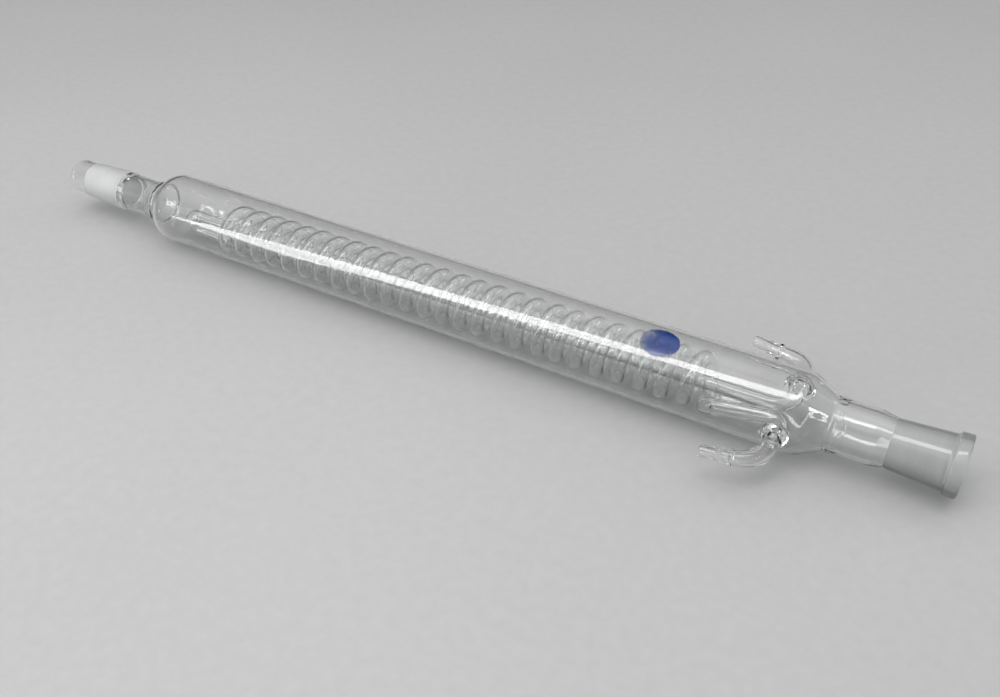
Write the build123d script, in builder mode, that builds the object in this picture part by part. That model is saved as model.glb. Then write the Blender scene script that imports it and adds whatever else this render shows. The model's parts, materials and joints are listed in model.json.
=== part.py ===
from build123d import *

import os
from math import cos, radians, sin, tan

# Coil reflux condenser, blown from borosilicate glass, lying on the bench.
# +X runs along the glass axis towards the socket, +Z is up, and the bench is z = 0.
# The origin is under the middle of the condenser. Millimetres and degrees.

# Jacket
jacket_r = 20.0            # outer radius, and so the height of the glass axis over the bench
jacket_wall = 1.8
jacket_lower_x = -180.9    # where the lower shoulder meets the straight jacket
jacket_upper_x = 172.9     # where the head of the jacket begins
shoulder_x = 194.0         # where the head draws in
shoulder_bend_r = 14.0
throat_bend_r = 5.0
throat_length = 3.0        # straight stretch from the throat to the weld

# Standard taper joints, size 24/29: 24 mm at the large end, 29 mm long, taper 1 in 10
joint_large_r = 12.0
joint_length = 29.0
joint_small_r = joint_large_r - joint_length / 20

# Lower end: drip tip, ground cone, stem and weld
cone_wide_x = -224.5
cone_narrow_x = cone_wide_x - joint_length
drip_end_x = -265.1
drip_r = 10.3
drip_wall = 1.3
cone_bore_r = 9.2
cone_stem_r = 11.2
cone_weld_x = -197.4
cone_weld_r = 12.2
stem_wall = 1.5
stem_step_length = 4.0     # the stem steps down from the cone over this length
stem_swell_length = 7.0    # and swells up to the weld over this one
weld_land = 2.0            # straight stretch on each side of the weld

# Upper end: weld, stem, ground socket and rim
socket_weld_x = 209.6
socket_stem_r = 13.1
socket_stem_end_x = 226.0
socket_start_x = 233.1
socket_neck_r = 11.67
socket_outer_r = 13.2
rim_start_x = 256.9
rim_face_x = 265.1
rim_r = 14.8
rim_flare = 2.6
socket_ground_end_x = rim_face_x - 1.0
rim_mouth_r = joint_large_r + 0.4

weld_bead_width = 3.2
weld_bead_height = 0.5

# Cooling coil and its inner tubes
tube_r = 3.75
tube_bore_r = 2.75
coil_r = 11.0              # to the middle of the tube
coil_pitch = 11.2
coil_far_x = -142.1
coil_near_x = 149.9
coil_droop = 2.0           # how far the far end of the coil hangs below the glass axis
coil_start_angle = 247.0   # round the glass axis, from +Y towards +Z
hairpin_x = -176.0         # middle of the hairpin that joins the coil to the return tube
hairpin_bend_r = 4.6
coil_entry_run = 6.0       # straight stretches at the two ends of the coil, and their bends
coil_entry_bend_r = 5.0
coil_exit_run = 6.5
coil_exit_bend_r = 5.0
supply_bend_r = 6.0
supply_reach = 7.0         # how far the supply lead lies from the axis
return_bend_r = 9.0
return_far_x = -160.0
return_near_x = 168.0

# Hose connectors: angle round the axis, and where the tip of the barb is
seal_x = 186.4
connectors = {"front": {"angle": 185.0, "tip_x": 160.0}, "back": {"angle": 0.0, "tip_x": 156.2}}
connector_reach = 42.5     # from the glass axis to the tip of the barb
connector_splay = 10.5     # how far the barb leans away from the jacket
elbow_bend_r = 13.0
seal_inner_reach = 16.0
seal_outer_reach = 25.0
seal_collar_r = 7.8
barb_tip_r = 2.8
barb_tip_length = 7.0
barb_ridge_r = 3.5
barb_ridge_at = 8.4
barb_waist_r = 3.1
barb_flange_r = 4.1
barb_flange_at = 13.7
barb_length = 15.5
barb_bore_r = 1.9
seal_depth = 2.0           # how far the seal's collar reaches in from the jacket's outside
seal_swell = 1.9           # how far its rounded shoulder stands out from the jacket

# Fired enamel patch on the upper side of the jacket
patch_x = 123.7
patch_angle = 107.0
patch_half_length = 10.0
patch_half_width = 8.2
patch_thickness = 0.12

glass_centre = Vector(0, 0, jacket_r)
glass_axis = Axis(glass_centre, (1, 0, 0))
profile_plane = Plane(origin=glass_centre, x_dir=(1, 0, 0), z_dir=(0, -1, 0))


def outward(angle):
    """Unit vector away from the glass axis at this angle round it."""
    return Vector(0, cos(radians(angle)), sin(radians(angle)))


def from_axis(x, reach, angle):
    """The point at x, this far from the glass axis, at this angle round it."""
    return Vector(x, 0, jacket_r) + outward(angle) * reach


def finish(builder, name):
    """Labels a finished piece and writes its STEP file."""
    builder.part.label = name
    export_step(builder.part, f"parts/{name}.step")


def turned(outline):
    """A ring of glass: the closed outline of its wall, turned round the glass axis."""
    with BuildPart() as ring:
        with BuildSketch(profile_plane):
            with BuildLine():
                Polyline(*outline, close=True)
            make_face()
        revolve(axis=glass_axis)
    return ring


def tube_along(points, radii=()):
    """A glass tube along straight runs joined by tangent arcs, one radius for each corner."""
    with BuildPart() as tube:
        with BuildLine() as route:
            if radii:
                FilletPolyline(*points, radius=radii)
            else:
                Line(*points)
        with BuildSketch(Plane(origin=route.line @ 0, z_dir=route.line % 0)):
            Circle(tube_r)
            Circle(tube_bore_r, mode=Mode.SUBTRACT)
        sweep()
    return tube


os.makedirs("parts", exist_ok=True)

# Lower end -------------------------------------------------------------------------------------

with BuildPart() as drip_tip:
    with BuildSketch(profile_plane):
        with BuildLine():
            Polyline(
                (drip_end_x, drip_r - drip_wall),
                (cone_narrow_x, cone_bore_r),
                (cone_narrow_x, joint_small_r),
                (drip_end_x, drip_r),
                close=True,
            )
        make_face()
    revolve(axis=glass_axis)
    rim_edges = drip_tip.edges().filter_by(GeomType.CIRCLE).group_by(Axis.X)[0]
    fillet(rim_edges, drip_wall * 0.45)
finish(drip_tip, "drip_tip")

ground_cone = turned([
    (cone_narrow_x, cone_bore_r),
    (cone_wide_x, cone_bore_r),
    (cone_wide_x, joint_large_r),
    (cone_narrow_x, joint_small_r),
])
finish(ground_cone, "ground_cone")

with BuildPart() as cone_stem:
    with BuildSketch(profile_plane):
        with BuildLine():
            FilletPolyline(
                (cone_wide_x, joint_large_r),
                (cone_wide_x + stem_step_length, cone_stem_r),
                (cone_weld_x - stem_swell_length, cone_stem_r),
                (cone_weld_x - weld_land, cone_weld_r),
                (cone_weld_x, cone_weld_r),
                radius=2.0,
            )
            Polyline(
                (cone_weld_x, cone_weld_r),
                (cone_weld_x, cone_weld_r - stem_wall),
                (cone_weld_x - stem_swell_length, cone_stem_r - stem_wall),
                (cone_wide_x + stem_step_length, cone_stem_r - stem_wall),
                (cone_wide_x, cone_bore_r),
                (cone_wide_x, joint_large_r),
            )
        make_face()
    revolve(axis=glass_axis)
finish(cone_stem, "cone_stem")

with BuildPart() as lower_shoulder:
    with BuildSketch(profile_plane):
        with BuildLine():
            outer = TangentArc(
                (jacket_lower_x, jacket_r),
                (cone_weld_x + weld_land, cone_weld_r),
                tangent=(-1, 0),
            )
            Line(outer @ 1, (cone_weld_x, cone_weld_r))
            Line((cone_weld_x, cone_weld_r), (cone_weld_x, cone_weld_r - stem_wall))
            Line(
                (cone_weld_x, cone_weld_r - stem_wall),
                (cone_weld_x + weld_land, cone_weld_r - stem_wall),
            )
            inner = TangentArc(
                (jacket_lower_x, jacket_r - jacket_wall),
                (cone_weld_x + weld_land, cone_weld_r - stem_wall),
                tangent=(-1, 0),
            )
            Line(inner @ 0, outer @ 0)
        make_face()
    revolve(axis=glass_axis)
finish(lower_shoulder, "lower_shoulder")

# Jacket and head -------------------------------------------------------------------------------

jacket_tube = turned([
    (jacket_lower_x, jacket_r - jacket_wall),
    (jacket_upper_x, jacket_r - jacket_wall),
    (jacket_upper_x, jacket_r),
    (jacket_lower_x, jacket_r),
])
finish(jacket_tube, "jacket_tube")

with BuildPart() as jacket_head:
    with BuildSketch(profile_plane):
        with BuildLine():
            FilletPolyline(
                (jacket_upper_x, jacket_r),
                (shoulder_x, jacket_r),
                (socket_weld_x - throat_length, socket_stem_r),
                (socket_weld_x, socket_stem_r),
                radius=[shoulder_bend_r, throat_bend_r],
            )
            Line((socket_weld_x, socket_stem_r), (socket_weld_x, socket_stem_r - jacket_wall))
            FilletPolyline(
                (socket_weld_x, socket_stem_r - jacket_wall),
                (socket_weld_x - throat_length, socket_stem_r - jacket_wall),
                (shoulder_x, jacket_r - jacket_wall),
                (jacket_upper_x, jacket_r - jacket_wall),
                radius=[throat_bend_r, shoulder_bend_r],
            )
            Line((jacket_upper_x, jacket_r - jacket_wall), (jacket_upper_x, jacket_r))
        make_face()
    revolve(axis=glass_axis)
    for connector in connectors.values():
        hole_plane = Plane(
            origin=(seal_x, 0, jacket_r), x_dir=(1, 0, 0), z_dir=outward(connector["angle"])
        )
        with BuildSketch(hole_plane):
            Circle(tube_r)
        extrude(amount=jacket_r + 1, mode=Mode.SUBTRACT)
finish(jacket_head, "jacket_head")

# Upper end -------------------------------------------------------------------------------------

socket_stem = turned([
    (socket_weld_x, socket_stem_r - jacket_wall),
    (socket_stem_end_x, socket_stem_r - jacket_wall),
    (socket_start_x, joint_small_r),
    (socket_start_x, socket_neck_r),
    (socket_stem_end_x, socket_stem_r),
    (socket_weld_x, socket_stem_r),
])
finish(socket_stem, "socket_stem")

ground_start_x = socket_ground_end_x - joint_length
bore_at_rim = joint_large_r - (socket_ground_end_x - rim_start_x) / 20

ground_socket = turned([
    (socket_start_x, joint_small_r),
    (ground_start_x, joint_small_r),
    (rim_start_x, bore_at_rim),
    (rim_start_x, socket_outer_r),
    (socket_start_x, socket_neck_r),
])
finish(ground_socket, "ground_socket")

with BuildPart() as socket_rim:
    with BuildSketch(profile_plane):
        with BuildLine():
            Polyline(
                (rim_start_x, socket_outer_r),
                (rim_start_x, bore_at_rim),
                (socket_ground_end_x, joint_large_r),
                (rim_face_x, rim_mouth_r),
                (rim_face_x, rim_r - 1.0),
            )
            RadiusArc((rim_face_x, rim_r - 1.0), (rim_face_x - 1.0, rim_r), -1.0)
            Line((rim_face_x - 1.0, rim_r), (rim_start_x + rim_flare + 1, rim_r))
            Spline(
                (rim_start_x + rim_flare + 1, rim_r),
                (rim_start_x, socket_outer_r),
                tangents=[(-1, 0), (-1, -0.05)],
            )
        make_face()
    revolve(axis=glass_axis)
finish(socket_rim, "socket_rim")

for name, weld_x, weld_r in (
    ("cone_weld", cone_weld_x, cone_weld_r),
    ("socket_weld", socket_weld_x, socket_stem_r),
):
    with BuildPart() as weld_bead:
        with BuildSketch(profile_plane):
            with BuildLine():
                ThreePointArc(
                    (weld_x - weld_bead_width / 2, weld_r),
                    (weld_x, weld_r + weld_bead_height),
                    (weld_x + weld_bead_width / 2, weld_r),
                )
                Line(
                    (weld_x + weld_bead_width / 2, weld_r),
                    (weld_x - weld_bead_width / 2, weld_r),
                )
            make_face()
        revolve(axis=glass_axis)
    finish(weld_bead, name)

# Cooling coil ----------------------------------------------------------------------------------

coil_far_centre = Vector(coil_far_x, 0, jacket_r - coil_droop)
coil_near_centre = Vector(coil_near_x, 0, jacket_r)
coil_run = coil_near_centre - coil_far_centre
coil_out = outward(coil_start_angle)
coil_out = (coil_out - coil_run.normalized() * coil_out.dot(coil_run.normalized())).normalized()
coil_plane = Plane(origin=coil_far_centre, x_dir=coil_out, z_dir=coil_run)

with BuildPart() as cooling_coil:
    with BuildLine() as coil_line:
        turns = Helix(coil_pitch, coil_run.length, coil_r, lefthand=True, mode=Mode.PRIVATE)
        add(turns.moved(coil_plane.location))
    with BuildSketch(Plane(origin=coil_line.line @ 0, z_dir=coil_line.line % 0)):
        Circle(tube_r)
        Circle(tube_bore_r, mode=Mode.SUBTRACT)
    sweep(is_frenet=True)
finish(cooling_coil, "cooling_coil")

coil_start = coil_line.line @ 0
coil_start_way = coil_line.line % 0
coil_end = coil_line.line @ 1
coil_end_way = coil_line.line % 1

# Inner tubes -----------------------------------------------------------------------------------

return_slope = coil_droop / (seal_x - coil_far_x)


def return_centre(x):
    """The middle of the return tube at x: it rises in a straight line to the back seal."""
    return Vector(x, 0, jacket_r - (seal_x - x) * return_slope)


return_tube = tube_along([return_centre(return_far_x), return_centre(return_near_x)])
finish(return_tube, "return_tube")

below_start = coil_start - coil_start_way * coil_entry_run - coil_out
hairpin_low = Vector(hairpin_x, below_start.Y * 0.6, below_start.Z + 1.5)
coil_hairpin = tube_along(
    [return_centre(return_far_x), return_centre(hairpin_x), hairpin_low, below_start, coil_start],
    [hairpin_bend_r, hairpin_bend_r, coil_entry_bend_r],
)
finish(coil_hairpin, "coil_hairpin")

front_angle = connectors["front"]["angle"]
supply_lead = tube_along(
    [
        coil_end,
        coil_end + coil_end_way * coil_exit_run,
        from_axis(seal_x, supply_reach, front_angle),
        from_axis(seal_x, seal_inner_reach, front_angle),
    ],
    [coil_exit_bend_r, supply_bend_r],
)
finish(supply_lead, "supply_lead")

back_angle = connectors["back"]["angle"]
return_lead = tube_along(
    [
        return_centre(return_near_x),
        from_axis(seal_x, 0, back_angle),
        from_axis(seal_x, seal_inner_reach, back_angle),
    ],
    [return_bend_r],
)
finish(return_lead, "return_lead")

# Ring seals, elbows and barbs ------------------------------------------------------------------

for side, connector in connectors.items():
    out = outward(connector["angle"])
    seal_centre = Vector(seal_x, 0, jacket_r)
    seal_plane = Plane(origin=seal_centre, x_dir=(1, 0, 0), z_dir=Vector(1, 0, 0).cross(out))

    with BuildPart() as ring_seal:
        with BuildSketch(seal_plane):
            with BuildLine():
                Polyline(
                    (0, jacket_r - seal_depth),
                    (seal_collar_r, jacket_r - seal_depth),
                    (seal_collar_r, jacket_r - 0.2),
                )
                ThreePointArc(
                    (seal_collar_r, jacket_r - 0.2),
                    (tube_r + 1.1, jacket_r + seal_swell),
                    (tube_r, seal_outer_reach - 0.5),
                )
                Polyline(
                    (tube_r, seal_outer_reach - 0.5),
                    (tube_r, seal_outer_reach),
                    (0, seal_outer_reach),
                    (0, jacket_r - seal_depth),
                )
            make_face()
        revolve(axis=Axis(seal_centre, out))
        with BuildSketch(Plane(origin=(seal_x - 20, 0, jacket_r), z_dir=(1, 0, 0))):
            Circle(jacket_r)
        extrude(amount=40, mode=Mode.SUBTRACT)
        with BuildSketch(Plane(origin=seal_centre + out * seal_inner_reach, z_dir=out)):
            Circle(tube_r)
        extrude(amount=seal_outer_reach - seal_inner_reach)
        with BuildSketch(Plane(origin=seal_centre + out * seal_inner_reach, z_dir=out)):
            Circle(tube_bore_r)
        extrude(amount=seal_outer_reach - seal_inner_reach, mode=Mode.SUBTRACT)
    finish(ring_seal, f"{side}_ring_seal")

    lean = radians(connector_splay)
    barb_way = Vector(-cos(lean), 0, 0) + out * sin(lean)
    barb_tip = from_axis(connector["tip_x"], connector_reach, connector["angle"])
    barb_root = barb_tip - barb_way * barb_length
    corner_reach = connector_reach - (seal_x - connector["tip_x"]) * tan(lean)
    elbow = tube_along(
        [
            seal_centre + out * seal_outer_reach,
            seal_centre + out * corner_reach,
            barb_root,
        ],
        [elbow_bend_r],
    )
    finish(elbow, f"{side}_hose_elbow")

    barb_plane = Plane(origin=barb_tip, x_dir=-barb_way, z_dir=(-barb_way).cross(out))
    with BuildPart() as hose_barb:
        with BuildSketch(barb_plane):
            with BuildLine():
                Polyline(
                    (0, barb_bore_r),
                    (barb_length - 3, barb_bore_r),
                    (barb_length, tube_bore_r),
                    (barb_length, tube_r),
                    (barb_flange_at + 1.0, tube_r),
                    (barb_flange_at + 0.6, barb_flange_r),
                    (barb_flange_at - 0.4, barb_flange_r),
                    (barb_ridge_at + 1.2, barb_waist_r),
                    (barb_ridge_at + 0.4, barb_ridge_r),
                    (barb_ridge_at - 0.4, barb_ridge_r),
                    (barb_tip_length, barb_tip_r),
                    (0, barb_tip_r),
                    close=True,
                )
            make_face()
        revolve(axis=Axis(barb_tip, -barb_way))
    finish(hose_barb, f"{side}_hose_barb")

# Enamel patch ----------------------------------------------------------------------------------

patch_out = outward(patch_angle)
with BuildPart() as enamel_patch:
    with BuildSketch(Plane(origin=(patch_x - patch_half_length, 0, jacket_r), z_dir=(1, 0, 0))):
        Circle(jacket_r + patch_thickness)
        Circle(jacket_r, mode=Mode.SUBTRACT)
    extrude(amount=2 * patch_half_length)
    with BuildSketch(Plane(origin=(patch_x, 0, jacket_r), x_dir=(1, 0, 0), z_dir=patch_out)):
        Ellipse(patch_half_length, patch_half_width)
    extrude(amount=jacket_r + 2, mode=Mode.INTERSECT)
finish(enamel_patch, "enamel_patch")
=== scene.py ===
import json

import bpy
import numpy as np
from mathutils import Matrix, Vector


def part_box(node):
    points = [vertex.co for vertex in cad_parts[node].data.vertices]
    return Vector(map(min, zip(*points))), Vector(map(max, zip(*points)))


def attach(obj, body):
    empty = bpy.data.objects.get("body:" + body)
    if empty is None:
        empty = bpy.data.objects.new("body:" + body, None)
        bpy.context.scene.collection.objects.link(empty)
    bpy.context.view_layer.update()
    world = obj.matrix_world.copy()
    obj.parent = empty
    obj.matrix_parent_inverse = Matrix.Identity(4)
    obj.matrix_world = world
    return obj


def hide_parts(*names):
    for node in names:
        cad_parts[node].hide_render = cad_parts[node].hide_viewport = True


# Coil reflux condenser of clear borosilicate glass, lying on a pale bench.
# Shapes are worked out in millimetres, +X along the glass axis towards the socket and +Z up,
# and are turned into metres when a mesh is made. Angles round the axis run from +Y towards +Z.

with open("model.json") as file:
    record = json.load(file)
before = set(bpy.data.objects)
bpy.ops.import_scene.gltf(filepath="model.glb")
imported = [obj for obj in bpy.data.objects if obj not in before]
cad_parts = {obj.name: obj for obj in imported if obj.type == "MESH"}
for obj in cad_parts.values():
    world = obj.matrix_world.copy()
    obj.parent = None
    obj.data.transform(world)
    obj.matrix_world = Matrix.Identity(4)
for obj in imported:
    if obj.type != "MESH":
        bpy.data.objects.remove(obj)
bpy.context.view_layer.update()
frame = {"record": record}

MM = 0.001


def span(node):
    """The lowest and highest corner of a CAD node, in millimetres."""
    low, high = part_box(node)
    return np.array(low) / MM, np.array(high) / MM


def middle_x(node):
    """The middle of a CAD node along the glass axis."""
    low, high = span(node)
    return (low[0] + high[0]) / 2


def half_height(node):
    """The largest radius of a CAD node that is turned round the glass axis."""
    low, high = span(node)
    return (high[2] - low[2]) / 2


# ---------------------------------------------------------------- sizes

JACKET_R = half_height("jacket_tube")
JACKET_WALL = 1.8
JACKET_LOWER_X = span("jacket_tube")[0][0]
JACKET_UPPER_X = span("jacket_tube")[1][0]
AXIS_Z = JACKET_R + span("jacket_tube")[0][2]
SHOULDER_X = JACKET_UPPER_X + 21.1
SHOULDER_BEND = 14.0
THROAT_BEND = 5.0
THROAT_LENGTH = 2.6

DRIP_END_X = span("drip_tip")[0][0]
DRIP_R = 10.3
DRIP_WALL = 1.3
CONE_NARROW_X = span("ground_cone")[0][0]
CONE_WIDE_X = span("ground_cone")[1][0]
JOINT_LARGE_R = half_height("ground_cone")
JOINT_TAPER = 1 / 20
JOINT_LENGTH = CONE_WIDE_X - CONE_NARROW_X
JOINT_SMALL_R = JOINT_LARGE_R - JOINT_LENGTH * JOINT_TAPER
CONE_BORE_R = 9.2
STEM_R = 11.2
STEM_WALL = 1.5
CONE_WELD_X = middle_x("cone_weld")
CONE_WELD_R = 12.2

SOCKET_WELD_X = middle_x("socket_weld")
SOCKET_STEM_R = half_height("socket_stem")
SOCKET_STEM_END_X = SOCKET_WELD_X + 16.4
SOCKET_START_X = span("ground_socket")[0][0]
SOCKET_NECK_R = 11.67
RIM_START_X = span("ground_socket")[1][0]
SOCKET_OUTER_R = half_height("ground_socket")
RIM_FACE_X = span("socket_rim")[1][0]
RIM_R = half_height("socket_rim")
RIM_FLARE = 2.3
GROUND_END_X = RIM_FACE_X - 1.0
RIM_MOUTH_R = JOINT_LARGE_R + 0.4
WELD_HEIGHT = 0.5
WELD_SPREAD = 0.9
WELD_REACH = 3.2             # how far from a weld the wall has close points
UPPER_WELD_RINGS = [(-1.6, 0.42, 0.60, 1), (1.7, 0.5, 0.65, -1)]  # place, height, spread, way
OUTER_WALL_FROM_R = 11.9     # at a weld, the outer wall is further out than this
BORE_WELD = 0.35             # how much of a weld shows in the bore

TUBE_R = 3.75
TUBE_BORE_R = 2.75
COIL_R = 11.0
COIL_PITCH = 11.2
COIL_FAR = np.array([-142.1, 0.0, AXIS_Z - 2.0])
COIL_NEAR = np.array([149.9, 0.0, AXIS_Z])
COIL_START_ANGLE = 247.0
HAIRPIN_X = -176.0
HAIRPIN_BEND = 4.6
COIL_ENTRY_RUN = 6.0
COIL_ENTRY_BEND = 5.0
COIL_EXIT_RUN = 6.5
COIL_EXIT_BEND = 5.0
SUPPLY_REACH = 7.0
SUPPLY_BEND = 6.0
RETURN_BEND = 9.0

SEAL_X = middle_x("front_ring_seal")
SEAL_INNER_REACH = 16.0
SEAL_COLLAR_R = 7.8
ELBOW_BEND = 13.0
ELBOW_SWELL = 0.55
CONNECTOR_ANGLES = {"front": 185.0, "back": 0.0}
BARB_TIP_LENGTH = 7.0
BARB_LENGTH = 15.5
BARB_BORE_R = 1.9
BARB_TIP_R = 2.8
BARB_WAIST_R = 3.1
BARB_RIDGE_R = 3.5
BARB_FLANGE_R = 4.1
BARB_ROOT_R = 3.45

PATCH_X = middle_x("enamel_patch")
PATCH_ANGLE = 107.0
PATCH_HALF_LENGTH = 10.0
PATCH_HALF_WIDTH = 8.2

FIT = 0.015          # air left between two pieces that meet face to face
TURNED_SIDES = 128
TUBE_SIDES = 24
SHARP_ANGLE = np.radians(38)


# ---------------------------------------------------------------- routes and outlines

def unit(v):
    """Vectors divided by their own length."""
    v = np.asarray(v, float)
    return v / np.linalg.norm(v, axis=-1, keepdims=True)


def outward(angle):
    """The direction away from the glass axis at this angle round it."""
    return np.array([0.0, np.cos(np.radians(angle)), np.sin(np.radians(angle))])


def from_axis(x, reach, angle):
    """The point at x, this far from the glass axis, at this angle round it."""
    return np.array([x, 0.0, AXIS_Z]) + outward(angle) * reach


def rounded(corners, bends, step=1.0):
    """A line through corners, in any number of dimensions, with an arc in each inner corner.

    The arc of radius bend starts bend * tan(turn / 2) before the corner. Its points are
    centre + bend * (cos t * from_centre + sin t * way), with t from 0 to the turn.
    """
    corners = np.array(corners, float)
    parts = [corners[:1]]
    for before, corner, after, bend in zip(corners, corners[1:], corners[2:], bends):
        way_in = unit(corner - before)
        way_out = unit(after - corner)
        turn = np.arccos(np.clip(way_in @ way_out, -1, 1))
        start = corner - way_in * bend * np.tan(turn / 2)
        inwards = unit(way_out - way_in * (way_in @ way_out))
        centre = start + inwards * bend
        t = np.linspace(0, turn, max(4, int(bend * turn / step) + 2))[:, None]
        parts.append(centre - inwards * bend * np.cos(t) + way_in * bend * np.sin(t))
    parts.append(corners[-1:])
    return np.concatenate(parts)


def spaced(points, step):
    """The same line with extra points, so that no run is much longer than step."""
    points = np.asarray(points, float)
    runs = np.linalg.norm(np.diff(points, axis=0), axis=1)
    along = np.concatenate([[0], np.cumsum(runs)])
    counts = np.maximum(1, np.ceil(runs / step).astype(int))
    where = np.concatenate(
        [a + run * np.arange(n) / n for a, run, n in zip(along, runs, counts)] + [along[-1:]]
    )
    return np.column_stack([np.interp(where, along, column) for column in points.T])


class Route:
    """A path in space with a pair of cross directions at each point that never spin round it."""

    def __init__(self, points):
        """Each raw pair is turned by the summed twist between neighbours.

        A pair is carried to the next point by the smallest rotation between the two tangents,
        and the angle it then makes with that point's raw pair is the twist of that step.
        """
        self.points = np.asarray(points, float)
        runs = np.linalg.norm(np.diff(self.points, axis=0), axis=1)
        self.along = np.concatenate([[0], np.cumsum(runs)])
        self.length = self.along[-1]
        tangents = unit(np.gradient(self.points, self.along, axis=0))
        least = np.eye(3)[np.argmin(np.abs(tangents), axis=1)]
        raw_u = unit(np.cross(tangents, least))
        raw_v = np.cross(tangents, raw_u)
        turn_axis = np.cross(tangents[:-1], tangents[1:])
        cosine = np.sum(tangents[:-1] * tangents[1:], axis=1)[:, None]
        carried = raw_u[:-1] * cosine + np.cross(turn_axis, raw_u[:-1])
        carried += turn_axis * np.sum(turn_axis * raw_u[:-1], axis=1)[:, None] / (1 + cosine)
        twist = np.arctan2(np.sum(carried * raw_v[1:], axis=1), np.sum(carried * raw_u[1:], axis=1))
        angle = np.concatenate([[0], np.cumsum(twist)])[:, None]
        self.u = raw_u * np.cos(angle) + raw_v * np.sin(angle)
        self.v = -raw_u * np.sin(angle) + raw_v * np.cos(angle)

    def at(self, distance):
        """Middle and cross directions at distances along the path."""
        def blended(values):
            columns = [np.interp(distance, self.along, column) for column in values.T]
            return np.column_stack(columns)
        return blended(self.points), unit(blended(self.u)), unit(blended(self.v))


GLASS_AXIS = Route([[DRIP_END_X, 0, AXIS_Z], [0, 0, AXIS_Z], [RIM_FACE_X, 0, AXIS_Z]])


# ---------------------------------------------------------------- meshes

def glass_mesh(name, corners, quads, materials, face_materials=None):
    """A closed mesh in metres, with its faces outwards and its sharp corners kept sharp.

    The sum of each face's middle dotted with its area vector is three times the volume, and
    when it is negative every face is turned over.
    """
    corners = np.asarray(corners, float) * MM
    a, b, c, d = (corners[quads[:, k]] for k in range(4))
    area = np.cross(c - a, d - b)
    if np.sum((a + b + c + d) * area) < 0:
        quads = quads[:, ::-1]
    mesh = bpy.data.meshes.new(name)
    mesh.from_pydata(corners, [], quads.tolist())
    for material in materials:
        mesh.materials.append(material)
    if face_materials is not None:
        mesh.polygons.foreach_set("material_index", face_materials.astype(np.int32))
    mesh.polygons.foreach_set("use_smooth", np.ones(len(mesh.polygons), bool))
    mesh.set_sharp_from_angle(angle=SHARP_ANGLE)
    mesh.update()
    piece = bpy.data.objects.new(name, mesh)
    bpy.context.scene.collection.objects.link(piece)
    return piece


def ring_quads(rows, sides, closed):
    """The faces between rings of points, with the last ring joined to the first if closed."""
    i, j = np.meshgrid(np.arange(rows if closed else rows - 1), np.arange(sides), indexing="ij")
    ahead, beside = (i + 1) % rows, (j + 1) % sides
    return np.stack(
        [i * sides + j, ahead * sides + j, ahead * sides + beside, i * sides + beside], axis=-1
    ).reshape(-1, 4)


def carried(name, route, outline, materials, sides, lumps=None, kinds=None):
    """The closed outline of a glass wall, (distance, radius), carried round and along a route.

    A point is middle(s) + r * (cos a * u(s) + sin a * v(s)), and lumps(s, a) is added to r.
    The grid closes both ways, so the outer wall, the bore and both rims are one surface.
    """
    outline = np.asarray(outline, float)
    distance = outline[:, 0]
    middle, u, v = route.at(distance)
    a = np.arange(sides) * 2 * np.pi / sides
    radius = np.repeat(outline[:, 1:], sides, axis=1)
    if lumps is not None:
        radius = radius + lumps(distance[:, None], a[None, :], outline[:, 1:])
    ring = np.cos(a)[None, :, None] * u[:, None, :] + np.sin(a)[None, :, None] * v[:, None, :]
    corners = (middle[:, None, :] + radius[:, :, None] * ring).reshape(-1, 3)
    quads = ring_quads(len(outline), sides, closed=True)
    face_kinds = None if kinds is None else np.repeat(np.asarray(kinds), sides)
    return glass_mesh(name, corners, quads, materials, face_kinds)


def turned(name, outer, inner, materials, lumps=None, kinds=None):
    """A wall turned round the glass axis: its outer line from left to right, its bore back."""
    outline = np.concatenate([outer, inner])
    outline[:, 0] -= DRIP_END_X
    return carried(name, GLASS_AXIS, outline, materials, TURNED_SIDES, lumps, kinds)


def tube(name, route, outer_r, bore_r, materials, sides=TUBE_SIDES):
    """An open tube: the outer wall along every point of the route, and the bore back again."""
    s = route.along
    outer = np.column_stack([s, np.broadcast_to(outer_r, s.shape)])
    bore = np.column_stack([s, np.broadcast_to(bore_r, s.shape)])
    return carried(name, route, np.concatenate([outer, bore[::-1]]), materials, sides)


def joined(piece, other, operation):
    """Adds another solid to a piece, or cuts it away, and keeps the result as the piece's mesh."""
    step = piece.modifiers.new("flame", "BOOLEAN")
    step.operation = operation
    step.solver = "MANIFOLD"
    step.object = other
    bpy.context.view_layer.update()
    ready = piece.evaluated_get(bpy.context.evaluated_depsgraph_get())
    mesh = bpy.data.meshes.new_from_object(ready)
    piece.modifiers.remove(step)
    piece.data = mesh
    mesh.polygons.foreach_set("use_smooth", np.ones(len(mesh.polygons), bool))
    mesh.set_sharp_from_angle(angle=SHARP_ANGLE)
    bpy.data.objects.remove(other)


# ---------------------------------------------------------------- shader maths

class Number:
    """A shader socket that Python can add, subtract and multiply: each sign adds a Math node."""

    def __init__(self, finish, socket):
        self.finish = finish
        self.socket = socket

    def math(self, operation, first, second):
        return self.finish.node("Math", {"operation": operation}, {0: first, 1: second})

    def __add__(self, other):
        return self.math("ADD", self, other)

    __radd__ = __add__

    def __sub__(self, other):
        return self.math("SUBTRACT", self, other)

    def __rsub__(self, other):
        return self.math("SUBTRACT", other, self)

    def __mul__(self, other):
        return self.math("MULTIPLY", self, other)

    __rmul__ = __mul__


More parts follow.
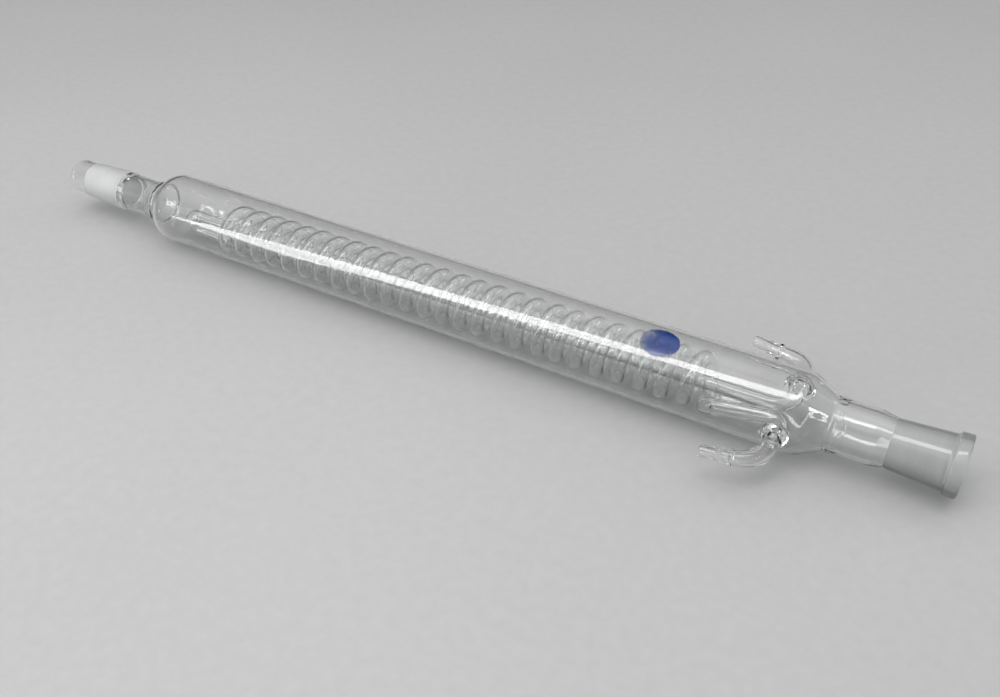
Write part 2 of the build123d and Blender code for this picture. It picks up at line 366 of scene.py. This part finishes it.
class Finish:
    """A node material, or the world, with one method that makes every node in it."""

    def __init__(self, owner):
        owner.use_nodes = True
        self.owner = owner
        self.tree = owner.node_tree
        self.tree.nodes.clear()

    def node(self, kind, settings=None, values=None, output=0):
        """Makes a node, sets its settings, then gives its sockets their values or links."""
        made = self.tree.nodes.new("ShaderNode" + kind)
        for key, value in (settings or {}).items():
            if key == "stops":
                self.set_stops(made.color_ramp, value)
            else:
                setattr(made, key, value)
        for key, value in (values or {}).items():
            if isinstance(value, Number):
                self.tree.links.new(value.socket, made.inputs[key])
            else:
                made.inputs[key].default_value = value
        return Number(self, made.outputs[output]) if len(made.outputs) else made

    @staticmethod
    def set_stops(ramp, stops):
        """Sets a colour ramp from (place, grey or colour) pairs."""
        while len(ramp.elements) < len(stops):
            ramp.elements.new(0.5)
        for element, (place, colour) in zip(ramp.elements, stops):
            element.position = place
            element.color = (colour, colour, colour, 1) if np.isscalar(colour) else (*colour, 1)

    def position(self, stretch=(1, 1, 1)):
        """A point on the object, in metres, stretched along each axis."""
        place = self.node("TexCoord", output="Object")
        return self.node("Mapping", values={"Vector": place, "Scale": stretch})

    def noise(self, place, scale, detail=2.0, roughness=0.5):
        """Cloudy noise from 0 to 1 with about this many waves to the metre."""
        return self.node("TexNoise", values={
            "Vector": place, "Scale": scale, "Detail": detail, "Roughness": roughness,
        })

    def surface(self, shader):
        self.node("OutputMaterial", values={"Surface": shader})
        return self.owner


# ---------------------------------------------------------------- finishes

SHADE_THROUGH_GLASS = (0.925, 0.93, 0.93, 1)
SHADE_THROUGH_FROST = (0.62, 0.63, 0.64, 1)
GLASS_TINT = (0.968, 0.973, 0.970, 1)
GLASS_IOR = 1.473


def with_light_shade(finish, shader, shade=SHADE_THROUGH_GLASS):
    """Lets light through the glass to whatever lies in its shade, a little less at each wall."""
    through = finish.node("BsdfTransparent", values={"Color": shade})
    in_shade = finish.node("LightPath", output="Is Shadow Ray")
    return finish.node("MixShader", values={0: in_shade, 1: shader, 2: through})


def make_clear_glass():
    """Drawn and flame-worked borosilicate: long faint draw lines, and slow ripples in the wall."""
    finish = Finish(bpy.data.materials.new("clear_glass"))
    draw_lines = finish.noise(finish.position((0.06, 1, 1)), 420.0, 1.0)
    ripples = finish.noise(finish.position(), 48.0, 2.0)
    relief = draw_lines * 0.25 + ripples
    bump = finish.node("Bump", values={"Strength": 0.35, "Distance": 0.00022, "Height": relief})
    glass = finish.node("BsdfPrincipled", values={
        "Base Color": GLASS_TINT, "Roughness": 0.0, "IOR": GLASS_IOR,
        "Transmission Weight": 1.0, "Normal": bump,
    })
    return finish.surface(with_light_shade(finish, glass))


def make_ground_glass():
    """Finely ground taper: an even frost with cloudy patches and fine grinding rings."""
    finish = Finish(bpy.data.materials.new("ground_glass"))
    grain = finish.noise(finish.position(), 2600.0, 3.0)
    rings = finish.noise(finish.position((1, 0.04, 0.04)), 1500.0, 2.0)
    clouds = finish.noise(finish.position(), 90.0, 3.0)
    colour = finish.node("ValToRGB", {"stops": [
        (0.3, (0.60, 0.607, 0.607)), (0.7, (0.72, 0.728, 0.728)),
    ]}, {"Fac": clouds * 0.7 + rings * 0.3})
    bump = finish.node("Bump", values={
        "Strength": 0.5, "Distance": 0.00006, "Height": grain + rings * 0.7,
    })
    frost = finish.node("BsdfPrincipled", values={
        "Base Color": colour, "Roughness": clouds * 0.14 + 0.48, "IOR": GLASS_IOR,
        "Transmission Weight": 0.38, "Normal": bump,
    })
    return finish.surface(with_light_shade(finish, frost, SHADE_THROUGH_FROST))


def make_blue_enamel():
    """A fired blue print: glassy and patchy, with a worn end towards the drip tip."""
    finish = Finish(bpy.data.materials.new("blue_enamel"))
    place = finish.position()
    clouds = finish.noise(place, 230.0, 4.0)
    screen = finish.noise(finish.position((1.6, 0.5, 0.5)), 900.0, 2.0)
    mottle = clouds * 0.7 + screen * 0.3
    colour = finish.node("ValToRGB", {"stops": [
        (0.3, (0.004, 0.022, 0.12)), (0.55, (0.006, 0.035, 0.19)), (0.8, (0.015, 0.07, 0.30)),
    ]}, {"Fac": mottle})
    along = finish.node("SeparateXYZ", values={0: place}, output="X")
    worn_end = (PATCH_X - PATCH_HALF_LENGTH) * MM
    wear = finish.node("MapRange", values={
        "Value": along + clouds * 0.012, 1: worn_end + 0.006, 2: worn_end + 0.016, 3: 0.12, 4: 1.0,
    })
    cover = finish.node("MapRange", values={"Value": mottle, 1: 0.30, 2: 0.50, 3: 0.75, 4: 0.98})
    bump = finish.node("Bump", values={"Strength": 0.3, "Distance": 0.00003, "Height": mottle})
    enamel = finish.node("BsdfPrincipled", values={
        "Base Color": colour, "Roughness": clouds * 0.15 + 0.16, "Alpha": cover * wear,
        "Coat Weight": 0.3, "Normal": bump,
    })
    return finish.surface(enamel)


def make_floor_finish():
    """Matt pale board with a faint, even grain."""
    finish = Finish(bpy.data.materials.new("pale_board"))
    grain = finish.noise(finish.position(), 180.0, 4.0)
    broad = finish.noise(finish.position(), 3.0, 2.0)
    colour = finish.node("ValToRGB", {"stops": [(0.25, 0.42), (0.75, 0.48)]},
                         {"Fac": grain * 0.5 + broad * 0.5})
    bump = finish.node("Bump", values={"Strength": 0.12, "Distance": 0.0003, "Height": grain})
    board = finish.node("BsdfPrincipled", values={
        "Base Color": colour, "Roughness": 0.75, "Specular IOR Level": 0.25, "Normal": bump,
    })
    return finish.surface(board)


CLEAR = make_clear_glass()
GROUND = make_ground_glass()
ENAMEL = make_blue_enamel()


# ---------------------------------------------------------------- lower end

def make_drip_tip():
    """The clear drip tube below the cone, its end drawn in and rounded by the flame.

    The rim is half a circle between the outer wall and the bore.
    """
    lip = DRIP_WALL / 2
    t = np.linspace(0, np.pi, 9)
    middle_r = DRIP_R - lip
    rim = np.column_stack([DRIP_END_X + lip - lip * np.sin(t), middle_r - lip * np.cos(t)])
    outer = [[CONE_NARROW_X - 4, DRIP_R + 0.12], [CONE_NARROW_X - 1.6, JOINT_SMALL_R - 0.1],
             [CONE_NARROW_X - FIT, JOINT_SMALL_R - 0.02]]
    bore = [[CONE_NARROW_X - FIT, CONE_BORE_R], [CONE_NARROW_X - 4, CONE_BORE_R - 0.05],
            [DRIP_END_X + 3, DRIP_R - DRIP_WALL]]
    outline = np.concatenate([bore, rim, outer])
    return turned("drip_tip_glass", outline, np.zeros((0, 2)), [CLEAR])


def make_ground_cone():
    """The 24/29 cone: ground outside, a clear bore inside, and a soft edge at each end."""
    edge = 0.25
    outer = np.array([
        [CONE_NARROW_X + FIT, JOINT_SMALL_R - edge * 0.6],
        [CONE_NARROW_X + edge, JOINT_SMALL_R],
        [CONE_WIDE_X - edge, JOINT_LARGE_R],
        [CONE_WIDE_X - FIT, JOINT_LARGE_R - edge * 0.6],
    ])
    bore = np.array([[CONE_WIDE_X - FIT, CONE_BORE_R], [CONE_NARROW_X + FIT, CONE_BORE_R]])
    kinds = np.array([0, 0, 0, 1, 1, 1])
    return turned("ground_cone_glass", outer, bore, [GROUND, CLEAR], kinds=kinds)


# ---------------------------------------------------------------- jacket

def hand_made(s, a, radius):
    """Small faults of hand-blown glass, added to the radius.

    The lower weld is one ring and the upper weld two, each exp(-(distance / spread) squared),
    uneven round the ring. The two upper rings wander, with a few blobs between them. The head
    is out of round by a few hundredths of a millimetre.
    """
    x = s + DRIP_END_X
    outside = np.where(radius > OUTER_WALL_FROM_R, 1.0, BORE_WELD)
    uneven = 1 + 0.25 * np.sin(3 * a + 0.7) + 0.16 * np.sin(7 * a + 2.1) + 0.1 * np.sin(13 * a)
    welds = np.exp(-((x - CONE_WELD_X) / WELD_SPREAD) ** 2)
    wander = 0.35 * np.sin(2 * a + 1.0) + 0.2 * np.sin(5 * a)
    for place, height, spread, way in UPPER_WELD_RINGS:
        welds = welds + height * np.exp(-((x - SOCKET_WELD_X - place - way * wander) / spread) ** 2)
    blobs = np.exp(-((x - SOCKET_WELD_X) / 1.4) ** 2) * np.sin(9 * a + 1.3) ** 8
    welds = welds + 0.5 * blobs
    head = np.exp(-((x - SHOULDER_X - 6) / 7.0) ** 2)
    out_of_round = 0.05 * np.sin(2 * a + 0.4) * head
    return WELD_HEIGHT * outside * uneven * welds + out_of_round


def jacket_outlines():
    """The outer line of the blown body from the cone to the socket, and its bore back again."""
    weld_lower, weld_upper = CONE_WELD_X, SOCKET_WELD_X
    wall, stem_wall = JACKET_WALL, STEM_WALL
    lower_outer = rounded([
        (CONE_WIDE_X + FIT, JOINT_LARGE_R), (CONE_WIDE_X + 4, STEM_R), (weld_lower - 7, STEM_R),
        (weld_lower - 2, CONE_WELD_R), (weld_lower + 3.2, CONE_WELD_R + 0.2),
        (JACKET_LOWER_X - 8, JACKET_R), (JACKET_LOWER_X + 10, JACKET_R),
    ], [4.0, 4.0, 4.0, 3.4, 12.0], step=0.5)
    head_outer = rounded([
        (JACKET_UPPER_X, JACKET_R), (SHOULDER_X, JACKET_R), (weld_upper - THROAT_LENGTH, SOCKET_STEM_R),
        (SOCKET_STEM_END_X, SOCKET_STEM_R), (SOCKET_START_X - FIT, SOCKET_NECK_R),
    ], [SHOULDER_BEND, THROAT_BEND, 6.0], step=0.6)
    outer = np.concatenate([lower_outer, head_outer])
    lower_bore = rounded([
        (CONE_WIDE_X + FIT, CONE_BORE_R), (CONE_WIDE_X + 4, STEM_R - stem_wall),
        (weld_lower - 7, STEM_R - stem_wall), (weld_lower - 2, CONE_WELD_R - stem_wall),
        (weld_lower + 4.0, CONE_WELD_R - stem_wall + 0.2),
        (JACKET_LOWER_X - 7.4, JACKET_R - wall), (JACKET_LOWER_X + 10, JACKET_R - wall),
    ], [4.0, 4.0, 4.0, 6.5, 10.0], step=0.5)
    head_bore = rounded([
        (JACKET_UPPER_X, JACKET_R - wall), (SHOULDER_X, JACKET_R - wall),
        (weld_upper - THROAT_LENGTH, SOCKET_STEM_R - wall), (SOCKET_STEM_END_X, SOCKET_STEM_R - wall),
        (SOCKET_START_X - FIT, JOINT_SMALL_R),
    ], [SHOULDER_BEND, THROAT_BEND, 6.0], step=0.6)
    bore = np.concatenate([lower_bore, head_bore])
    return with_weld_points(outer), with_weld_points(bore)[::-1]


def with_weld_points(line):
    """Close points along a line where the welds stand, and wide ones elsewhere."""
    def near_a_weld(points):
        to_lower = np.abs(points[:, 0] - CONE_WELD_X)
        to_upper = np.abs(points[:, 0] - SOCKET_WELD_X)
        return np.minimum(to_lower, to_upper) < WELD_REACH
    fine = spaced(line, 0.45)
    near_weld = near_a_weld(fine)
    coarse = spaced(line, 12.0)
    away = ~near_a_weld(coarse)
    both = np.concatenate([fine[near_weld], coarse[away]])
    return both[np.argsort(both[:, 0], kind="stable")]


def barb_line(side):
    """The tip of a hose barb and the way it points, from the mount on it."""
    mount = next(m for m in frame["record"]["mounts"] if m["name"] == side + "_hose")
    way = unit(mount["axis"])
    tip = np.array(mount["pos_m"]) / MM + way * BARB_TIP_LENGTH / 2
    return tip, way


def connector_route(side):
    """Out through the jacket, round the elbow and on to the root of the barb."""
    tip, way = barb_line(side)
    out = outward(CONNECTOR_ANGLES[side])
    root = tip - way * (BARB_LENGTH + FIT)
    seal_centre = np.array([SEAL_X, 0.0, AXIS_Z])
    tip_reach = (tip - seal_centre) @ out
    corner_reach = tip_reach - (SEAL_X - tip[0]) * (way @ out) / -way[0]
    corner = seal_centre + out * corner_reach
    start = seal_centre + out * (SEAL_INNER_REACH + FIT)
    return Route(spaced(rounded([start, corner, root], [ELBOW_BEND], step=0.7), 0.7))


def connector_radius(s, total):
    """The outer radius of a connector: a fat seal at the jacket, a swollen elbow, a slim end.

    The seal flares both ways from the tube as (1 - distance / width) to the power 2.2, and the
    elbow adds a bell curve.
    """
    wall_at = JACKET_R - JACKET_WALL / 2 - SEAL_INNER_REACH
    outside = np.clip(1 - (s - wall_at - 0.6) / 6.2, 0, 1) ** 2.2
    inside = np.clip(1 - (wall_at - s) / 3.4, 0, 1) ** 2.2
    flare = np.where(s > wall_at, outside, inside)
    elbow = np.exp(-((s - 0.55 * total) / (0.24 * total)) ** 2)
    slim = np.clip((s - 0.72 * total) / (0.28 * total), 0, 1) ** 1.5
    return TUBE_R + (SEAL_COLLAR_R - TUBE_R) * flare + ELBOW_SWELL * elbow - 0.3 * slim


def add_connector(body, side):
    """Cuts the hole in the jacket, then fuses the seal and its bent tube into it."""
    route = connector_route(side)
    angle = CONNECTOR_ANGLES[side]
    hole_line = Route([from_axis(SEAL_X, reach, angle) for reach in (12.0, 17.0, 24.0)])
    hole = cylinder("hole", hole_line, (TUBE_R + TUBE_BORE_R) / 2)
    joined(body, hole, "DIFFERENCE")
    outer_r = connector_radius(route.along, route.length)
    bore_r = bore_along(route.along, route.length)
    arm = tube(side + "_arm", route, outer_r, bore_r, [CLEAR], 48)
    joined(body, arm, "UNION")


def bore_along(s, total):
    """The bore of a connector, which narrows towards the barb."""
    return TUBE_BORE_R - 0.25 * np.clip((s - 0.7 * total) / (0.3 * total), 0, 1)


def cylinder(name, route, radius, sides=40):
    """A plain closed cylinder along a route, with a fan of faces at each end."""
    middle, u, v = route.at(route.along)
    a = np.arange(sides) * 2 * np.pi / sides
    ring = np.cos(a)[None, :, None] * u[:, None, :] + np.sin(a)[None, :, None] * v[:, None, :]
    corners = (middle[:, None, :] + radius * ring).reshape(-1, 3)
    rows = len(middle)
    quads = ring_quads(rows, sides, closed=False)
    ends = [list(range(sides))[::-1], list(range((rows - 1) * sides, rows * sides))]
    mesh = bpy.data.meshes.new(name)
    mesh.from_pydata(corners * MM, [], quads[:, ::-1].tolist() + [end[::-1] for end in ends])
    piece = bpy.data.objects.new(name, mesh)
    bpy.context.scene.collection.objects.link(piece)
    return piece


def make_jacket_body():
    """The blown body: stems, shoulders, jacket and both connectors, fused into one wall."""
    outer, bore = jacket_outlines()
    body = turned("jacket_body_glass", outer, bore, [CLEAR], lumps=hand_made)
    for side in CONNECTOR_ANGLES:
        add_connector(body, side)
    return body


def make_hose_barb(side):
    """A hose barb: rounded tip, sloping ridge, waist and flange, then the root of the tube."""
    tip, way = barb_line(side)
    route = Route([tip, tip - way * BARB_LENGTH / 2, tip - way * BARB_LENGTH])
    lip = 0.42
    t = np.linspace(0, np.pi / 2, 5)
    outer_lip = np.column_stack([lip - lip * np.cos(t), BARB_TIP_R - lip + lip * np.sin(t)])
    bore_lip = np.column_stack([lip - lip * np.sin(t), BARB_BORE_R + lip - lip * np.cos(t)])
    ridge = rounded([
        (6.6, BARB_TIP_R), (8.1, BARB_RIDGE_R), (8.9, BARB_RIDGE_R - 0.05),
        (9.9, BARB_WAIST_R - 0.02), (12.9, BARB_WAIST_R),
    ], [1.2, 0.5, 0.5, 1.0], 0.2)
    flange = rounded([
        (12.9, BARB_WAIST_R), (13.3, BARB_FLANGE_R), (14.3, BARB_FLANGE_R),
        (14.9, BARB_ROOT_R), (BARB_LENGTH, BARB_ROOT_R),
    ], [0.35, 0.4, 0.3], 0.12)
    bore = [
        (BARB_LENGTH, TUBE_BORE_R - 0.25), (BARB_LENGTH - 3, BARB_BORE_R + 0.2),
        (BARB_LENGTH - 5, BARB_BORE_R),
    ]
    outline = np.concatenate([outer_lip, ridge, flange[1:], bore, bore_lip[::-1][:-1]])
    return carried(side + "_hose_barb_glass", route, outline, [CLEAR], 40)


# ---------------------------------------------------------------- upper end

def make_ground_socket():
    """The 24/29 socket: clear and glossy outside, ground inside."""
    bore_at_rim = JOINT_LARGE_R - (GROUND_END_X - RIM_START_X) * JOINT_TAPER
    outer = np.array([
        [SOCKET_START_X + FIT, SOCKET_NECK_R], [RIM_START_X - 8, SOCKET_OUTER_R - 0.5],
        [RIM_START_X - FIT, SOCKET_OUTER_R],
    ])
    ground_start = GROUND_END_X - JOINT_LENGTH
    bore = np.array([
        [RIM_START_X - FIT, bore_at_rim], [ground_start, JOINT_SMALL_R],
        [SOCKET_START_X + FIT, JOINT_SMALL_R],
    ])
    kinds = np.array([0, 0, 0, 1, 1, 0])
    return turned("ground_socket_glass", outer, bore, [CLEAR, GROUND], kinds=kinds)


def make_socket_rim():
    """The thick rolled rim: a short flare, a flat band and round corners, ground in the mouth."""
    bore_at_rim = JOINT_LARGE_R - (GROUND_END_X - RIM_START_X) * JOINT_TAPER
    outer = rounded([
        (RIM_START_X + FIT, SOCKET_OUTER_R), (RIM_START_X + 1.9, SOCKET_OUTER_R + 0.1),
        (RIM_START_X + RIM_FLARE, RIM_R), (RIM_FACE_X, RIM_R), (RIM_FACE_X, RIM_MOUTH_R),
        (GROUND_END_X, JOINT_LARGE_R), (RIM_START_X + FIT, bore_at_rim),
    ], [1.6, 1.3, 1.3, 0.4, 0.4], step=0.18)
    mouth = int(np.argmax((outer[:, 0] < GROUND_END_X + 0.1) & (outer[:, 1] < RIM_MOUTH_R)))
    kinds = (np.arange(len(outer)) >= mouth).astype(int)
    return turned("socket_rim_glass", outer, np.zeros((0, 2)), [CLEAR, GROUND], kinds=kinds)


# ---------------------------------------------------------------- inner tube

def coil_points():
    """The helix: far + run * t + coil_r * (cos w * x - sin w * y), w growing 360 degrees a turn.

    The pitch and the radius wander by a few tenths of a millimetre, as on a hand-wound coil,
    and are exact at both ends.
    """
    run = COIL_NEAR - COIL_FAR
    way = unit(run)
    x = outward(COIL_START_ANGLE)
    x = unit(x - way * (x @ way))
    y = np.cross(way, x)
    turns = np.linalg.norm(run) / COIL_PITCH
    t = np.linspace(0, 1, int(turns * 40))
    w = 2 * np.pi * turns * t
    ease = np.clip(np.minimum(t, 1 - t) * 14, 0, 1)
    slip = ease * (0.35 * np.sin(9.3 * np.pi * t) + 0.22 * np.sin(23 * np.pi * t + 1))
    swell = ease * (0.14 * np.sin(31 * np.pi * t) + 0.1 * np.sin(2.0 * w + 0.6))
    middle = COIL_FAR + run * t[:, None] + way * slip[:, None]
    return middle + (COIL_R + swell)[:, None] * (np.cos(w)[:, None] * x - np.sin(w)[:, None] * y), x


def return_centre(x):
    """The middle of the return tube at x: it rises in a straight line to the back seal."""
    slope = (AXIS_Z - COIL_FAR[2]) / (SEAL_X - COIL_FAR[0])
    return np.array([x, 0.0, AXIS_Z - (SEAL_X - x) * slope])


def inner_route():
    """Back seal, return tube, hairpin, coil, and the lead to the front seal, as one path."""
    coil, coil_out = coil_points()
    way_in = unit(coil[1] - coil[0])
    way_out = unit(coil[-1] - coil[-2])
    below_start = coil[0] - way_in * COIL_ENTRY_RUN - coil_out
    hairpin_low = np.array([HAIRPIN_X, below_start[1] * 0.6, below_start[2] + 1.5])
    back, front = CONNECTOR_ANGLES["back"], CONNECTOR_ANGLES["front"]
    first = rounded([
        from_axis(SEAL_X, SEAL_INNER_REACH - FIT, back), from_axis(SEAL_X, 0, back),
        return_centre(HAIRPIN_X), hairpin_low, below_start, coil[0],
    ], [RETURN_BEND, HAIRPIN_BEND, HAIRPIN_BEND, COIL_ENTRY_BEND], step=0.7)
    last = rounded([
        coil[-1], coil[-1] + way_out * COIL_EXIT_RUN, from_axis(SEAL_X, SUPPLY_REACH, front),
        from_axis(SEAL_X, SEAL_INNER_REACH - FIT, front),
    ], [COIL_EXIT_BEND, SUPPLY_BEND], step=0.7)
    return Route(spaced(np.concatenate([first[:-1], coil, last[1:]]), 3.0))


def make_inner_tube():
    """One unbroken tube: return lead, return tube, hairpin, coil and supply lead."""
    route = inner_route()
    ends = np.minimum(route.along, route.length - route.along)
    thicker = 0.2 * np.exp(-(ends / 4.0) ** 2)
    return tube("inner_tube_glass", route, TUBE_R + thicker, TUBE_BORE_R, [CLEAR], sides=22)


# ---------------------------------------------------------------- enamel patch

def make_enamel_patch():
    """A thin oval laid on the jacket.

    A square grid (u, v) from -1 to 1 becomes a disc as p = u * sqrt(1 - v * v / 2) and
    q = v * sqrt(1 - u * u / 2). Then x = half length * p, and half width * q is the arc round
    the jacket. The edge wavers a little, and the thickness falls to nothing at the rim.
    """
    n = 41
    u, v = np.meshgrid(np.linspace(-1, 1, n), np.linspace(-1, 1, n), indexing="ij")
    p, q = u * np.sqrt(1 - v * v / 2), v * np.sqrt(1 - u * u / 2)
    reach, t = np.hypot(p, q), np.arctan2(q, p)
    waver = 0.97 + 0.018 * np.sin(3 * t) + 0.012 * np.sin(8 * t + 1)
    x = PATCH_X + PATCH_HALF_LENGTH * p * waver
    angle = np.radians(PATCH_ANGLE) + PATCH_HALF_WIDTH * q * waver / JACKET_R
    bottom = JACKET_R + 0.02
    height = 0.01 + 0.09 * (1 - reach ** 6)
    def sheet(radius):
        return np.stack([x, radius * np.cos(angle), AXIS_Z + radius * np.sin(angle)], axis=-1)
    corners = np.concatenate([sheet(bottom + height), sheet(bottom + 0 * height)]).reshape(-1, 3)
    index = np.arange(n * n).reshape(n, n)
    top = np.stack([index[:-1, :-1], index[1:, :-1], index[1:, 1:], index[:-1, 1:]], axis=-1)
    top = top.reshape(-1, 4)
    edge = np.concatenate([index[:-1, 0], index[-1, :-1], index[:0:-1, -1], index[0, :0:-1]])
    ahead = np.roll(edge, -1)
    side = np.stack([ahead, edge, edge + n * n, ahead + n * n], axis=-1)
    quads = np.concatenate([top, top[:, ::-1] + n * n, side])
    return glass_mesh("enamel_patch_print", corners, quads, [ENAMEL])


# ---------------------------------------------------------------- pieces on the frame

def place_pieces():
    """Makes every piece, rides it on the one body, and hides the CAD nodes that it stands for."""
    made = [
        (make_drip_tip(), "clear_glass", ["drip_tip"]),
        (make_ground_cone(), "ground_glass", ["ground_cone"]),
        (make_jacket_body(), "clear_glass", [
            "cone_stem", "cone_weld", "lower_shoulder", "jacket_tube", "jacket_head", "socket_weld",
            "socket_stem", "front_ring_seal", "back_ring_seal", "front_hose_elbow", "back_hose_elbow",
        ]),
        (make_ground_socket(), "ground_glass", ["ground_socket"]),
        (make_socket_rim(), "ground_glass", ["socket_rim"]),
        (make_inner_tube(), "clear_glass", [
            "supply_lead", "cooling_coil", "coil_hairpin", "return_tube", "return_lead",
        ]),
        (make_hose_barb("front"), "clear_glass", ["front_hose_barb"]),
        (make_hose_barb("back"), "clear_glass", ["back_hose_barb"]),
        (make_enamel_patch(), "blue_enamel", ["enamel_patch"]),
    ]
    for piece, slot, nodes in made:
        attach(piece, "root")
        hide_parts(*nodes)


# ---------------------------------------------------------------- studio

def make_floor():
    """A wide flat board just under the glass."""
    half = 6.0
    drop = -0.00005
    mesh = bpy.data.meshes.new("bench")
    corners = [(-half, -half, drop), (half, -half, drop), (half, half, drop), (-half, half, drop)]
    mesh.from_pydata(corners, [], [(0, 1, 2, 3)])
    mesh.materials.append(make_floor_finish())
    floor = bpy.data.objects.new("bench", mesh)
    bpy.context.scene.collection.objects.link(floor)


def make_world():
    """A room that is pale above and darker towards the floor, so that glass has edges."""
    world = bpy.data.worlds.new("studio")
    bpy.context.scene.world = world
    finish = Finish(world)
    place = finish.node("TexCoord", output="Generated")
    height = finish.node("SeparateXYZ", values={0: place}, output="Z")
    shade = finish.node("ValToRGB", {"stops": [
        (0.0, 0.18), (0.10, 0.16), (0.22, 0.045), (0.55, 0.07), (0.8, 0.45), (1.0, 0.70),
    ]}, {"Fac": height})
    glow = finish.node("Background", values={"Color": shade, "Strength": 1.55})
    finish.node("OutputWorld", values={"Surface": glow})


def softbox(name, centre, target, long_way, size, power):
    """A rectangular light that faces target, its long side along long_way."""
    light = bpy.data.lights.new(name, "AREA")
    light.shape = "RECTANGLE"
    light.size, light.size_y = size
    light.energy = power
    lamp = bpy.data.objects.new(name, light)
    bpy.context.scene.collection.objects.link(lamp)
    back = unit(np.array(centre) - np.array(target))
    side = unit(np.array(long_way) - back * (np.array(long_way) @ back))
    up = np.cross(back, side)
    turn = Matrix(np.column_stack([side, up, back]).tolist()).to_4x4()
    lamp.matrix_world = Matrix.Translation(Vector(centre)) @ turn


def make_lights():
    """Soft light from five boxes: where it stands, what it faces, its long way, size and power.

    The strip gives the streak along the jacket and the glow widens it. The side box lights the
    cone of the head, the top box the bench, and the rim box the far edge of the socket.
    """
    jacket = (0.0, 0.0, 0.02)
    head = (0.2, 0.0, 0.02)
    along_strip = (0.66, 0.75, 0.0)
    softbox("strip", (-0.37, -0.70, 0.9), jacket, along_strip, (2.8, 0.26), 15.0)
    softbox("glow", (-0.39, -0.74, 0.95), jacket, along_strip, (2.6, 0.9), 5.0)
    softbox("side", (1.10, -0.49, 0.65), head, (0.04, -0.58, -0.54), (0.50, 0.05), 0.8)
    softbox("top", (0.3, 0.9, 2.2), (0.0, 0.0, 0.0), (1, 0, 0), (2.4, 1.2), 4.0)
    softbox("rim", (1.1, 0.9, 0.55), (0.1, 0.0, 0.02), (0.6, -0.7, 0.0), (0.7, 0.3), 2.5)


def make_camera():
    """The camera stands over the socket end and looks down along the glass."""
    data = bpy.data.cameras.new("camera")
    data.sensor_fit = "HORIZONTAL"
    data.sensor_width = 36.0
    data.lens = 38.36
    data.clip_start = 0.01
    data.dof.use_dof = False
    camera = bpy.data.objects.new("camera", data)
    bpy.context.scene.collection.objects.link(camera)
    forward = unit([-0.3919, 0.6899, -0.6088])
    right = unit(np.cross(forward, [0, 0, 1]))
    up = np.cross(right, forward)
    turn = Matrix(np.column_stack([right, up, -forward]).tolist()).to_4x4()
    camera.matrix_world = Matrix.Translation((0.2549, -0.3883, 0.3399)) @ turn
    bpy.context.scene.camera = camera


def set_light_paths():
    """Enough bounces for light to cross the jacket, the coil and the jacket again."""
    scene = bpy.context.scene
    scene.cycles.max_bounces = 28
    scene.cycles.transmission_bounces = 28
    scene.cycles.glossy_bounces = 10
    scene.cycles.transparent_max_bounces = 64
    scene.cycles.caustics_refractive = False
    scene.cycles.caustics_reflective = False
    scene.view_settings.view_transform = "Standard"


make_camera()
make_world()
make_lights()
make_floor()
place_pieces()
set_light_paths()
